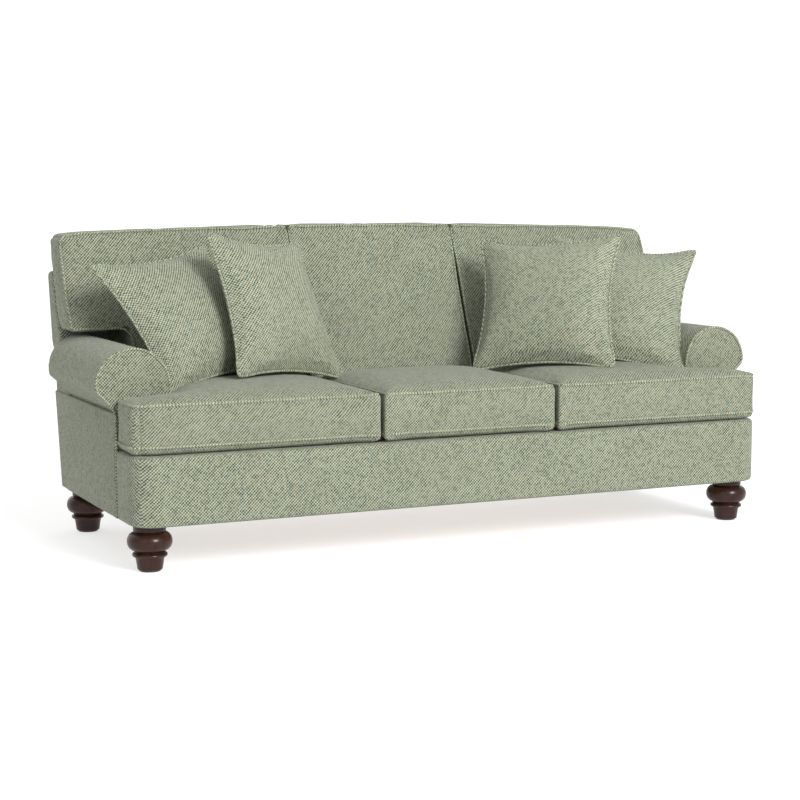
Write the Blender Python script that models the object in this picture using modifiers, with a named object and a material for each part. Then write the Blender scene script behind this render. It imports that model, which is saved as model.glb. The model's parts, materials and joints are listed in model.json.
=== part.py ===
# Pull-out sofa bed: rolled arms, wrap-round front border, loose welted cushions, turned feet.
# Metres, +Z up, front towards -Y, origin on the floor under the middle of the sofa.
import math

import bmesh
import bpy
from mathutils import Matrix, Vector
from mathutils.bvhtree import BVHTree

# Driving dimensions of the upholstered frame
BASE_HALF = 1.060          # half width across the outer side panels
BASE_BOTTOM = 0.136        # underside of the frame, on top of the feet
RAIL_TOP = 0.340           # top of the front border, where the seat cushions lie
BORDER_FRONT = -0.470      # front face of the front border
BORDER_WALL = 0.050        # padded thickness of the front border
BORDER_CORNER = 0.070      # plan radius of its front corners
ARM_SETBACK = 0.190        # arm front behind the border front
ARM_WIDTH = 0.171          # arm at its foot, from inner face to outer side
ROLL_INSET = 0.001         # roll behind the inner face
ROLL_Z = 0.520
ROLL_RADIUS = 0.1137
NECK_Z = 0.430             # height where the roll flows into the side panel
BACK_TOP = 0.829           # top of the back frame
BACK_DECK = 0.345          # underside of the back frame's front overhang
BACK_PROUD = 0.006         # back frame past the outer side of the base, each end
WELL_BACK = 0.300          # rear wall of the well under the seat
REAR_FOOT_LINE = 0.352     # rear face at the bottom
REAR_KNEE_Y = 0.419        # rear face at its bend
REAR_KNEE_Z = 0.413
REAR_BULGE = 0.014         # rear face between bend and top
REAR_TOP_Y = 0.4719        # rear face at the top

# Cushions
SEAT_TOP = 0.490           # top welt of the seat cushions
SEAT_CROWN = 0.024         # rise of the crown above the welt
SEAT_REAR = 0.106          # rear face of the seat cushions
SEAT_JOINT = 0.296         # half width of the middle seat cushion
TONGUE_INSET = 0.014       # cushion tongues before the arms, in from the outer side
CUSHION_GAP = 0.008        # between neighbouring cushions
SIDE_DRAW = 0.007          # how far the sides draw in between the welts
SEAT_OVERHANG = 0.0005     # seat front behind the border front
BACK_LEAN = math.radians(22.6)
BACK_FRONT_Y = 0.117       # front face of the back cushions at the bend
BACK_BEND_Z = 0.500        # below it the front face is upright
BACK_DEPTH = 0.150         # back cushion depth along Y above the bend
BACK_JOINT = 0.300         # half width of the middle back cushion
EAR_INSET = 0.002          # back cushions over the arms, in from the side of the back frame
BACK_MIDDLE_TOP = 0.968    # top of the back cushions at the middle
BACK_END_TOP = 0.940       # and at the outer ends
BACK_CROWN = 0.016
ARM_CUSHION_GAP = 0.030    # arm top to the back cushion's ear
PILLOW_SIZE = 0.450
PILLOW_THICK = 0.150
PILLOW_PINCH = 0.042       # how far each side draws in at its middle
PILLOW_EDGE = 0.010        # thickness along the welt
END_PILLOW_INSET = 0.230   # foot of an end pillow in from the arm
LEFT_PILLOW_STEP = 0.2135  # foot of the left front pillow in from the end pillow
RIGHT_PILLOW_STEP = 0.260

# Feet
FOOT_INSET = 0.0685        # foot centre in from the outer side
FOOT_FRONT_Y = -0.379
FOOT_REAR_Y = 0.300
FOOT_COLLAR = 0.0475       # radii of the turning, top to bottom
FOOT_BUN = 0.0655
FOOT_NECK = 0.0435
FOOT_RING = 0.0505
FOOT_TAPER = 0.0420
FOOT_TIP = 0.0365
FOOT_STEPS = 20
GLIDE_THICK = 0.004
GLIDE_RADIUS = 0.030

# Pull-out deck
SLAT_COUNT = 13
SLAT_WIDTH = 0.100
SLAT_SIDE = 0.059          # outermost slat to the arm
SLAT_THICK = 0.018
FRONT_SLAT_REAR = 0.200    # rear end of the moving slats
REAR_SLAT_FRONT = -0.350   # front end of the fixed slats
RAIL_THICK = 0.028
CLEAT_WIDTH = 0.034
CLEAT_HEIGHT = 0.042
CROSSBAR_FRONT = -0.340
CROSSBAR_WIDTH = 0.045
CROSSBAR_HEIGHT = 0.055
RUNNER_WIDTH = 0.026
RUNNER_HEIGHT = 0.050
RUNNER_BOTTOM = 0.2045
RUNNER_REAR = 0.150
CHANNEL_WALL = 0.003
CHANNEL_FRONT = -0.270
CHANNEL_REAR = 0.190
RUN_CLEARANCE = 0.0008     # running clearance of runner in channel

# Places that follow from the sizes above
ARM_INNER = BASE_HALF - ARM_WIDTH
ROLL_X = ARM_INNER + ROLL_RADIUS + ROLL_INSET
BACK_SIDE = BASE_HALF + BACK_PROUD
BACK_END = BACK_SIDE - EAR_INSET
SEAT_END = BASE_HALF - TONGUE_INSET
FOOT_X = BASE_HALF - FOOT_INSET
SLAT_PITCH = (2 * (ARM_INNER - SLAT_SIDE) - SLAT_WIDTH) / (SLAT_COUNT - 1)
END_PILLOW_X = ARM_INNER - END_PILLOW_INSET

CONTACT = 0.0003           # gap between faces that touch
SEAM_GAP = 0.0009          # arm to back frame along their upholstered seam
SOFT_EDGE = 0.012          # rounding of upholstered edges
WOOD_EDGE = 0.003

# Sizes that follow from the others
ARM_FRONT = BORDER_FRONT + ARM_SETBACK
SLAT_TOP = RAIL_TOP - CONTACT
SLAT_BOTTOM = SLAT_TOP - SLAT_THICK
SUPPORT_TOP = SLAT_BOTTOM - CONTACT
RAIL_FRONT = BORDER_FRONT + BORDER_WALL + CONTACT
RAIL_REAR = RAIL_FRONT + RAIL_THICK
ARM_TOP = ROLL_Z + ROLL_RADIUS
LEAN_SLOPE = math.tan(BACK_LEAN)
SEAT_BOTTOM = RAIL_TOP + CONTACT


# Scene and materials
for old in list(bpy.data.objects):
    bpy.data.objects.remove(old, do_unlink=True)

sofa = bpy.data.collections.new("sofa_bed")
cutters = bpy.data.collections.new("cutters")
bpy.context.scene.collection.children.link(sofa)
bpy.context.scene.collection.children.link(cutters)


def material(name, colour, roughness, metallic=0.0):
    made = bpy.data.materials.new(name)
    made.use_nodes = True
    shader = made.node_tree.nodes["Principled BSDF"]
    shader.inputs["Base Color"].default_value = (*colour, 1.0)
    shader.inputs["Roughness"].default_value = roughness
    shader.inputs["Metallic"].default_value = metallic
    return made


SAGE = (0.30, 0.34, 0.22)
ESPRESSO = (0.035, 0.018, 0.012)
BEECH = (0.62, 0.45, 0.27)
STEEL = (0.55, 0.56, 0.57)
NYLON = (0.05, 0.05, 0.05)
GLOSS = {"fabric": 0.95, "foot": 0.25, "timber": 0.6, "steel": 0.4, "nylon": 0.5}


def add(name, mesh, colour, gloss, metallic=0.0, smooth=None, collection=sofa):
    made = bpy.data.objects.new(name, mesh)
    collection.objects.link(made)
    mesh.materials.append(material(name, colour, GLOSS[gloss], metallic))
    if smooth is not None:
        mesh.shade_smooth()
        mesh.set_sharp_from_angle(angle=math.radians(smooth))
    return made


def mesh_from(form, name):
    mesh = bpy.data.meshes.new(name)
    form.to_mesh(mesh)
    form.free()
    return mesh


def bevel(made, width, segments=2, angle=40):
    rounding = made.modifiers.new("edges", "BEVEL")
    rounding.width = width
    rounding.segments = segments
    rounding.limit_method = "ANGLE"
    rounding.angle_limit = math.radians(angle)
    return made


def block(name, low, high, colour, gloss, edge=WOOD_EDGE, metallic=0.0):
    # A rectangular piece with eased edges
    form = bmesh.new()
    bmesh.ops.create_cube(form, size=1.0)
    size = [b - a for a, b in zip(low, high)]
    middle = [(a + b) / 2 for a, b in zip(low, high)]
    bmesh.ops.scale(form, vec=size, verts=form.verts)
    bmesh.ops.translate(form, vec=middle, verts=form.verts)
    return bevel(add(name, mesh_from(form, name), colour, gloss, metallic), edge, 1)


def outline_solid(name, points, depth, turn, shift, colour, gloss, edge, segments=2, metallic=0.0):
    # A flat closed outline, filled, given its depth, stood up by turn and put in place
    curve = bpy.data.curves.new(name + "_outline", "CURVE")
    curve.dimensions = "2D"
    curve.fill_mode = "BOTH"
    curve.extrude = depth / 2
    spline = curve.splines.new("POLY")
    spline.points.add(len(points) - 1)
    for point, (u, v) in zip(spline.points, points):
        point.co = (u, v, 0.0, 1.0)
    spline.use_cyclic_u = True
    flat = bpy.data.objects.new(name + "_outline", curve)
    sofa.objects.link(flat)
    bpy.context.view_layer.update()
    seen = flat.evaluated_get(bpy.context.evaluated_depsgraph_get())
    mesh = bpy.data.meshes.new_from_object(seen)
    bpy.data.objects.remove(flat, do_unlink=True)
    form = bmesh.new()
    form.from_mesh(mesh)
    bmesh.ops.remove_doubles(form, verts=form.verts, dist=0.00005)
    bmesh.ops.dissolve_limit(form, angle_limit=math.radians(1), verts=form.verts, edges=form.edges)
    bmesh.ops.recalc_face_normals(form, faces=form.faces)
    bmesh.ops.transform(form, matrix=Matrix.Translation(shift) @ turn, verts=form.verts)
    form.to_mesh(mesh)
    form.free()
    mesh.name = name
    mesh.materials.clear()
    made = add(name, mesh, colour, gloss, metallic, smooth=35)
    return bevel(made, edge, segments) if edge else made


def arc(centre, radius, start, end, steps):
    # Points along an arc, angles in degrees
    turns = [math.radians(start + (end - start) * step / steps) for step in range(steps + 1)]
    return [(centre[0] + radius * math.cos(t), centre[1] + radius * math.sin(t)) for t in turns]


FACE_FRONT = Matrix.Rotation(math.radians(90), 4, "X")      # outline u, v to X, Z
FACE_SIDE = Matrix(((0, 0, 1, 0), (1, 0, 0, 0), (0, 1, 0, 0), (0, 0, 0, 1)))  # u, v to Y, Z


# Rolled arms, cut at the back by the slope of the back frame
def frame_front(z):
    return BACK_FRONT_Y + BACK_DEPTH + CONTACT + LEAN_SLOPE * (z - BACK_BEND_Z)


def arm(name, side):
    flare = [(BASE_HALF - 0.002, NECK_Z), (BASE_HALF + 0.002, NECK_Z + 0.024),
             (BASE_HALF + 0.018, NECK_Z + 0.046), (BASE_HALF + 0.039, NECK_Z + 0.066)]
    roll = arc((ROLL_X, ROLL_Z), ROLL_RADIUS, -4, 180, 14)
    half = [(ARM_INNER, BASE_BOTTOM), (BASE_HALF, BASE_BOTTOM)] + flare + roll
    reach = frame_front(ARM_TOP) - ARM_FRONT
    made = outline_solid(name, [(side * x, z) for x, z in half], reach, FACE_FRONT,
                         (0, ARM_FRONT + reach / 2, 0), SAGE, "fabric", 0)
    made.modifiers.new("slope", "BOOLEAN").object = back_cutter
    return bevel(made, SOFT_EDGE / 2, 1, 60)


def back_profile(gap):
    # The back frame from the side; a wider gap makes the cutter for the arms
    overhang = frame_front(BACK_DECK)
    ridge = frame_front(BACK_TOP) + CONTACT
    return [(WELL_BACK - gap, BASE_BOTTOM - gap), (WELL_BACK - gap, BACK_DECK - gap),
            (overhang - gap, BACK_DECK - gap), (ridge - gap, BACK_TOP + gap), (REAR_TOP_Y, BACK_TOP + gap),
            (REAR_KNEE_Y + REAR_BULGE, (REAR_KNEE_Z + BACK_TOP) / 2), (REAR_KNEE_Y, REAR_KNEE_Z),
            (REAR_FOOT_LINE, BASE_BOTTOM - gap)]


back_cutter = outline_solid("back_cutter", back_profile(SEAM_GAP), 2 * (BACK_SIDE + ROLL_RADIUS), FACE_SIDE,
                            (0, 0, 0), SAGE, "fabric", SOFT_EDGE, 2)
sofa.objects.unlink(back_cutter)
cutters.objects.link(back_cutter)
back_cutter.hide_render = True
back_cutter.display_type = "WIRE"

outline_solid("back_frame", back_profile(0.0), 2 * BACK_SIDE, FACE_SIDE, (0, 0, 0), SAGE, "fabric",
              SOFT_EDGE, 2)
arm("left_arm", -1)
arm("right_arm", 1)


# Front border: one padded band from arm seam to arm seam
def band_half():
    # Outer then inner run of the right half, from the middle to the seam and back
    seam = ARM_FRONT - CONTACT
    inside = BASE_HALF - BORDER_WALL
    inner_front = BORDER_FRONT + BORDER_WALL
    corner = BORDER_CORNER
    inner_corner = BORDER_CORNER - BORDER_WALL
    outer = arc((BASE_HALF - corner, BORDER_FRONT + corner), corner, -90, 0, 6) + [(BASE_HALF, seam)]
    inner_centre = (inside - inner_corner, inner_front + inner_corner)
    inner = [(inside, seam)] + arc(inner_centre, inner_corner, 0, -90, 3)
    return outer, inner


outer_run, inner_run = band_half()
mirrored = [(-x, y) for x, y in reversed(outer_run)]
inner_mirrored = [(-x, y) for x, y in reversed(inner_run)]
outline_solid("front_border", outer_run + inner_run + inner_mirrored + mirrored, RAIL_TOP - BASE_BOTTOM,
              Matrix.Identity(4), (0, 0, (RAIL_TOP + BASE_BOTTOM) / 2), SAGE, "fabric", SOFT_EDGE / 2, 1)

# Timber inside the border that carries the front feet and the moving slats
block("front_rail", (-ARM_INNER, RAIL_FRONT, BASE_BOTTOM), (ARM_INNER, RAIL_REAR, SUPPORT_TOP),
      BEECH, "timber")
for word, side in (("left", -1), ("right", 1)):
    near = ARM_INNER + CONTACT
    far = BASE_HALF - BORDER_WALL - CONTACT
    ends = sorted((side * near, side * far))
    block(f"{word}_corner_block", (ends[0], RAIL_FRONT, BASE_BOTTOM),
          (ends[1], ARM_FRONT - 2 * CONTACT, SLAT_TOP), BEECH, "timber", BORDER_CORNER - BORDER_WALL)
block("front_cleat", (-ARM_INNER + RUNNER_WIDTH * 2, RAIL_REAR + CONTACT, SUPPORT_TOP - CLEAT_HEIGHT),
      (ARM_INNER - RUNNER_WIDTH * 2, RAIL_REAR + CONTACT + CLEAT_WIDTH, SUPPORT_TOP), BEECH, "timber")

# Fixed timber of the well
block("middle_crossbar", (-ARM_INNER + CONTACT, CROSSBAR_FRONT, SUPPORT_TOP - CROSSBAR_HEIGHT),
      (ARM_INNER - CONTACT, CROSSBAR_FRONT + CROSSBAR_WIDTH, SUPPORT_TOP), BEECH, "timber")
block("rear_cleat", (-ARM_INNER + CONTACT, WELL_BACK - CONTACT - CLEAT_WIDTH, SUPPORT_TOP - CLEAT_HEIGHT),
      (ARM_INNER - CONTACT, WELL_BACK - CONTACT, SUPPORT_TOP), BEECH, "timber")

# Interleaved slats: odd places slide out with the front, even places stay
front_number = rear_number = 0
for place in range(SLAT_COUNT):
    x = (place - (SLAT_COUNT - 1) / 2) * SLAT_PITCH
    if place % 2:
        front_number += 1
        name = f"front_slat_{front_number}"
        run = (RAIL_FRONT, FRONT_SLAT_REAR)
    else:
        rear_number += 1
        name = f"rear_slat_{rear_number}"
        run = (REAR_SLAT_FRONT, WELL_BACK - SOFT_EDGE - CONTACT)
    block(name, (x - SLAT_WIDTH / 2, run[0], SLAT_BOTTOM), (x + SLAT_WIDTH / 2, run[1], SLAT_TOP),
          BEECH, "timber")

# Runners on the front rail, in steel channels on the arms
for word, side in (("left", -1), ("right", 1)):
    web = ARM_INNER - CONTACT
    lip = web - CHANNEL_WALL - RUN_CLEARANCE - RUNNER_WIDTH
    bottom = RUNNER_BOTTOM - RUN_CLEARANCE
    top = RUNNER_BOTTOM + RUNNER_HEIGHT + RUN_CLEARANCE
    under, over, wall = bottom - CHANNEL_WALL, top + CHANNEL_WALL, web - CHANNEL_WALL
    section = [(web, under), (web, over), (lip, over), (lip, top),
               (wall, top), (wall, bottom), (lip, bottom), (lip, under)]
    length = CHANNEL_REAR - CHANNEL_FRONT
    outline_solid(f"{word}_channel", [(side * x, z) for x, z in section], length, FACE_FRONT,
                  (0, CHANNEL_FRONT + length / 2, 0), STEEL, "steel", 0, metallic=1.0)
    ends = sorted((side * lip, side * (lip + RUNNER_WIDTH)))
    block(f"{word}_runner", (ends[0], RAIL_REAR + CONTACT, RUNNER_BOTTOM),
          (ends[1], RUNNER_REAR, RUNNER_BOTTOM + RUNNER_HEIGHT), BEECH, "timber", WOOD_EDGE / 2)


# Turned feet with nylon glides
def foot_profile():
    # Radius and height from the top centre down to the floor end
    top = BASE_BOTTOM - CONTACT
    collar_end = top - 0.022
    bun_end = collar_end - 0.054
    bun_middle = (collar_end + bun_end) / 2
    bun = []
    for step in range(7):
        t = math.radians(80 - 160 * step / 6)
        radius = FOOT_NECK + (FOOT_BUN - FOOT_NECK) * math.cos(t)
        bun.append((radius, bun_middle + (collar_end - bun_end) / 2 * math.sin(t)))
    ring_top = bun_end - 0.006
    ring = [(FOOT_RING - 0.003, ring_top), (FOOT_RING, ring_top - 0.004),
            (FOOT_RING - 0.002, ring_top - 0.012)]
    tip = [(FOOT_TAPER, ring_top - 0.015), (FOOT_TIP, GLIDE_THICK + CONTACT), (0.0, GLIDE_THICK + CONTACT)]
    return [(0.0, top), (FOOT_COLLAR, top), (FOOT_COLLAR, collar_end + 0.003)] + bun + ring + tip


def turned(name, profile, place, colour, gloss, steps):
    form = bmesh.new()
    spots = [form.verts.new((radius, 0.0, z)) for radius, z in profile]
    for first, second in zip(spots, spots[1:]):
        form.edges.new((first, second))
    made = add(name, mesh_from(form, name), colour, gloss)
    made.location = place
    spin = made.modifiers.new("turning", "SCREW")
    spin.steps = spin.render_steps = steps
    spin.use_merge_vertices = True
    spin.merge_threshold = 0.00005
    spin.use_smooth_shade = True
    return made


for word, x, y in (("front_left", -FOOT_X, FOOT_FRONT_Y), ("front_right", FOOT_X, FOOT_FRONT_Y),
                   ("rear_left", -FOOT_X, FOOT_REAR_Y), ("rear_right", FOOT_X, FOOT_REAR_Y)):
    turned(f"{word}_foot", foot_profile(), (x, y, 0), ESPRESSO, "foot", FOOT_STEPS)
    disc = [(0.0, GLIDE_THICK), (GLIDE_RADIUS, GLIDE_THICK), (GLIDE_RADIUS, 0.0), (0.0, 0.0)]
    turned(f"{word}_glide", disc, (x, y, 0), NYLON, "nylon", FOOT_STEPS)


# Soft forms: a grid of cells, given thickness, then shaped point by point
def soft_form(name, columns, rows, kept, shape, layers=2, crease=0.7):
    form = bmesh.new()
    across, along = len(columns) - 1, len(rows) - 1
    bmesh.ops.create_grid(form, x_segments=across, y_segments=along, size=0.5)
    for spot in form.verts:
        spot.co.x = columns[round((spot.co.x + 0.5) * across)]
        spot.co.y = rows[round((spot.co.y + 0.5) * along)]
    lost = [face for face in form.faces if not kept(*face.calc_center_median().xy)]
    bmesh.ops.delete(form, geom=lost, context="FACES")
    sheet = list(form.faces)
    for layer in range(layers):
        grown = bmesh.ops.extrude_face_region(form, geom=sheet)["geom"]
        rise = [item for item in grown if isinstance(item, bmesh.types.BMVert)]
        bmesh.ops.translate(form, vec=(0, 0, 1.0 / layers), verts=rise)
        inner = [face for face in sheet if face.is_valid] if layer else []
        bmesh.ops.delete(form, geom=inner, context="FACES_ONLY")
        sheet = [item for item in grown if isinstance(item, bmesh.types.BMFace)]
    bmesh.ops.recalc_face_normals(form, faces=form.faces)
    form.normal_update()
    welt = form.edges.layers.float.new("crease_edge")
    for edge in form.edges:
        flat = [abs(face.normal.z) > 0.5 for face in edge.link_faces]
        if any(flat) and not all(flat):
            edge[welt] = crease
        elif edge.calc_face_angle(0.0) > math.radians(45):
            edge[welt] = crease if edge.is_convex else 1.0
    places = []
    for spot in form.verts:
        x, y, level = spot.co
        inward = -spot.normal if 0.25 < level < 0.75 else Vector()
        places.append((spot, shape(x + SIDE_DRAW * inward.x, y + SIDE_DRAW * inward.y, level)))
    for spot, place in places:
        spot.co = place
    form.normal_update()
    if form.calc_volume(signed=True) < 0:
        bmesh.ops.reverse_faces(form, faces=form.faces)
    made = add(name, mesh_from(form, name), SAGE, "fabric", smooth=60)
    smoothing = made.modifiers.new("stuffing", "SUBSURF")
    smoothing.levels = smoothing.render_levels = 1
    return made


def spread(low, high, count):
    return [low + (high - low) * step / count for step in range(count + 1)]


def rise_from_edge(distance, reach):
    # 0 on the welt, 1 from reach inwards
    part = min(max(distance / reach, 0.0), 1.0)
    return 1.0 - (1.0 - part) ** 2


# Seat cushions: the outer two have a tongue in front of the arm
def seat_cushion(name, side):
    half_gap = CUSHION_GAP / 2
    front = BORDER_FRONT + SEAT_OVERHANG
    tongue_rear = ARM_FRONT - CUSHION_GAP / 2
    if side == 0:
        low, high = -SEAT_JOINT + half_gap, SEAT_JOINT - half_gap
        columns = spread(low, high, 6)
    else:
        inner, elbow = SEAT_JOINT + half_gap, ARM_INNER - half_gap
        columns = sorted(side * x for x in spread(inner, elbow, 5) + [(elbow + SEAT_END) / 2, SEAT_END])
    rows = [front, (front + tongue_rear) / 2] + spread(tongue_rear, SEAT_REAR, 4)

    def kept(x, y):
        return abs(x) < ARM_INNER or y < tongue_rear

    def shape(x, y, level):
        edge = min(y - front, SEAT_REAR - y)
        ends = [abs(x - columns[0]), abs(x - columns[-1])]
        if side:
            elbow = ARM_INNER - half_gap
            within = abs(x) <= elbow + CONTACT
            corner = math.hypot(max(elbow - abs(x), 0.0), max(tongue_rear - y, 0.0))
            ends = [abs(abs(x) - SEAT_JOINT - half_gap), SEAT_END - abs(x), corner]
            if not within:
                edge = min(edge, tongue_rear - y)
        edge = min([edge] + ends)
        z = SEAT_BOTTOM + (SEAT_TOP - SEAT_BOTTOM) * level
        if level > 0.75:
            z += SEAT_CROWN * rise_from_edge(edge, 0.20)
        return Vector((x, y, z))

    return soft_form(name, columns, rows, kept, shape)


seats = [seat_cushion("left_seat_cushion", -1), seat_cushion("middle_seat_cushion", 0),
         seat_cushion("right_seat_cushion", 1)]


# Back cushions: upright below the seat top, leaning above it, the outer two with an ear over the arm
def back_cushion(name, side):
    half_gap = CUSHION_GAP / 2
    foot = SEAT_BOTTOM
    ear = ARM_TOP + ARM_CUSHION_GAP
    if side == 0:
        columns = spread(-BACK_JOINT + half_gap, BACK_JOINT - half_gap, 5)
    else:
        elbow = ARM_INNER - CUSHION_GAP
        columns = sorted(side * x for x in spread(BACK_JOINT + half_gap, elbow, 4) + [BACK_END])
    levels = [foot, (foot + BACK_BEND_Z) / 2, BACK_BEND_Z, ear, (ear + 1.0) / 2, 1.0]

    def kept(x, z):
        return abs(x) < ARM_INNER or z > ear

    def shape(x, v, level):
        top = BACK_MIDDLE_TOP - (BACK_MIDDLE_TOP - BACK_END_TOP) * (x / BACK_END) ** 2
        z = v if v <= ear else ear + (v - ear) / (1.0 - ear) * (top - ear)
        lean = LEAN_SLOPE * max(z - BACK_BEND_Z, 0.0)
        front = BACK_FRONT_Y + lean
        rear = BACK_FRONT_Y + BACK_DEPTH + LEAN_SLOPE * (z - BACK_BEND_Z)
        ends = [abs(abs(x) - BACK_JOINT + (-half_gap if side else half_gap)), z - foot, top - z]
        if side:
            ends.append(BACK_END - abs(x) if z > ear - CONTACT else ARM_INNER - CUSHION_GAP - abs(x))
        crown = BACK_CROWN * rise_from_edge(max(min(ends), 0.0), 0.15)
        if level < 0.25:
            return Vector((x, front + SIDE_DRAW - crown, z))
        if level > 0.75:
            return Vector((x, rear, z))
        return Vector((x, (front + rear) / 2, z))

    return soft_form(name, columns, levels, kept, shape)


for name, side in (("left_back_cushion", -1), ("middle_back_cushion", 0), ("right_back_cushion", 1)):
    back_cushion(name, side)


# Loose pillows: knife edges, sides drawn in, corners pointed
def pillow(name, foot_x, foot_y, yaw, lean, roll):
    ticks = spread(-1.0, 1.0, 6)
    half = PILLOW_SIZE / 2
    place = (Matrix.Translation((foot_x, foot_y, SEAT_TOP + 2 * SEAT_CROWN))
             @ Matrix.Rotation(math.radians(yaw), 4, "Z") @ Matrix.Rotation(math.radians(-lean), 4, "X")
             @ Matrix.Rotation(math.radians(roll), 4, "Y") @ Matrix.Translation((0, 0, half)))

    def shape(u, v, level):
        x = half * u * (1 - PILLOW_PINCH / half * (1 - v * v))
        z = half * v * (1 - PILLOW_PINCH / half * (1 - u * u))
        fill = math.sqrt(max(1 - u ** 2, 0.0) * max(1 - v ** 2, 0.0))
        thick = PILLOW_EDGE / 2 + (PILLOW_THICK - PILLOW_EDGE) / 2 * fill
        return place @ Vector((x, -thick if level < 0.5 else thick, z))

    return soft_form(name, ticks, ticks, lambda x, y: True, shape, layers=1, crease=0.5)


def settle(made):
    # Drop a pillow until it all but touches the seat
    bpy.context.view_layer.update()
    graph = bpy.context.evaluated_depsgraph_get()
    body = BVHTree.FromObject(made, graph)
    drops = []
    for seat in seats:
        below = BVHTree.FromObject(seat, graph)
        for spot in made.evaluated_get(graph).data.vertices:
            drops.append(below.ray_cast(spot.co, Vector((0, 0, -1)))[3])
        for spot in seat.evaluated_get(graph).data.vertices:
            drops.append(body.ray_cast(spot.co, Vector((0, 0, 1)))[3])
    made.data.transform(Matrix.Translation((0, 0, 2 * CONTACT - min(d for d in drops if d is not None))))


# Name, foot of the pillow in plan, then its turn, lean and roll in degrees
PILLOWS = (("left_end_pillow", -END_PILLOW_X, -0.110, 21.6, 37.9, -5.3),
           ("left_front_pillow", LEFT_PILLOW_STEP - END_PILLOW_X, -0.121, 27.1, 25.3, 1.5),
           ("right_front_pillow", END_PILLOW_X - RIGHT_PILLOW_STEP, -0.188, -41.5, 26.2, -1.0),
           ("right_end_pillow", END_PILLOW_X, -0.175, -21.6, 37.9, 5.3))
for spec in PILLOWS:
    settle(pillow(*spec))
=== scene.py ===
# %% [markdown]
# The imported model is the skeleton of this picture. Every piece below is dressed in the place
# where the model says it is, so the frame is loaded first and its box is kept for later.

# %% Load the frame
import bpy
import json
import math
import numpy as np
from mathutils import Matrix, Vector
from mathutils.bvhtree import BVHTree


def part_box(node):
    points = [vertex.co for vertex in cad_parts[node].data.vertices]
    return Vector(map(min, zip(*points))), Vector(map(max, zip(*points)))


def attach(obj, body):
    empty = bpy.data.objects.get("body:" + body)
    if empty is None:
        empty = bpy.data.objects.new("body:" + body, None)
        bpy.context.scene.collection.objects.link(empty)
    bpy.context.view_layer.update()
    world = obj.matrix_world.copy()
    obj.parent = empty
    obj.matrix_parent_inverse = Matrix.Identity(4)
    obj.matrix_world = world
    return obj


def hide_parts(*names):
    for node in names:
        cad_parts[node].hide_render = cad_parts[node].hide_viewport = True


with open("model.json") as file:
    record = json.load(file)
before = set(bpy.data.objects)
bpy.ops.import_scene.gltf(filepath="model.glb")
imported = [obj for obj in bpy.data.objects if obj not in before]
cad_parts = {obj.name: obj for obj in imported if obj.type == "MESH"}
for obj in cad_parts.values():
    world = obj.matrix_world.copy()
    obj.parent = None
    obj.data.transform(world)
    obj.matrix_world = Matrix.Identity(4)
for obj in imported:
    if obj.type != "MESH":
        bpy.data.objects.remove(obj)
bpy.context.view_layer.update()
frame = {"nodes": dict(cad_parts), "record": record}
BODIES = frame["record"]["behaviour"]["bodies"]
BODY_OF = {node: body for body, nodes in BODIES.items() for node in nodes}
SLOT_OF = {part["node"]: part["material_slot"] for part in frame["record"]["subparts"]}

# %% [markdown]
# The photograph was taken from the left of the sofa, a little above seat height, with a long
# lens. The place and the angles come from matching known corners of the sofa to the picture.

# %% Camera
CAMERA_PLACE = (-2.4767, -5.3202, 1.0818)
CAMERA_YAW = 24.726
CAMERA_DIP = 6.574
CAMERA_LENS = 81.43
SENSOR = 36.0
bpy.ops.object.camera_add(location=CAMERA_PLACE,
                          rotation=(math.radians(90 - CAMERA_DIP), 0, math.radians(-CAMERA_YAW)))
camera = bpy.context.object
camera.data.lens = CAMERA_LENS
camera.data.sensor_width = SENSOR
bpy.context.scene.camera = camera
print("camera at", CAMERA_PLACE)

# %% [markdown]
# The cloth is a tweed: small dots on a slanted twill, in cream and dark green yarn with a few
# ochre and blue-green flecks. It could be an image, but a pattern worked out from the piece's own
# flat map stays sharp at any distance. One node group makes colour and height.


# %% Weave group
def new_node(tree, kind, **values):
    node = tree.nodes.new(kind)
    for name, value in values.items():
        setattr(node, name, value)
    return node


def sums(tree, operation, first, second=None):
    # One arithmetic node; an argument is a socket or a number
    node = new_node(tree, "ShaderNodeMath", operation=operation)
    for slot, value in enumerate((first, second)):
        if value is None:
            continue
        if isinstance(value, (int, float)):
            node.inputs[slot].default_value = value
        else:
            tree.links.new(value, node.inputs[slot])
    return node.outputs[0]


def mixed(tree, share, first, second, blend="MIX"):
    # One colour mix node; first and second are sockets or colours
    node = new_node(tree, "ShaderNodeMix", data_type="RGBA", blend_type=blend)
    for slot, value in ((0, share), (6, first), (7, second)):
        if hasattr(value, "is_linked"):
            tree.links.new(value, node.inputs[slot])
        else:
            node.inputs[slot].default_value = value
    return node.outputs[2]


TWILL = 0.0098        # distance between slanted lines, along the cloth
CROSS = 0.0090        # distance between the lines that cross them
YARN = 0.0052         # size of one coloured fleck
DARK_YARN = (0.012, 0.022, 0.012, 1)
PALE_YARN = (0.355, 0.380, 0.280, 1)
OCHRE = (0.330, 0.260, 0.120, 1)
TEAL = (0.045, 0.110, 0.100, 1)
CREAM = (0.480, 0.470, 0.350, 1)
TWILL_SHARE, CROSS_SHARE = 0.60, 0.42
FLECK_SHARE = 0.22
DRIFT = 0.0014        # how far the yarns wander, along the cloth

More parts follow.
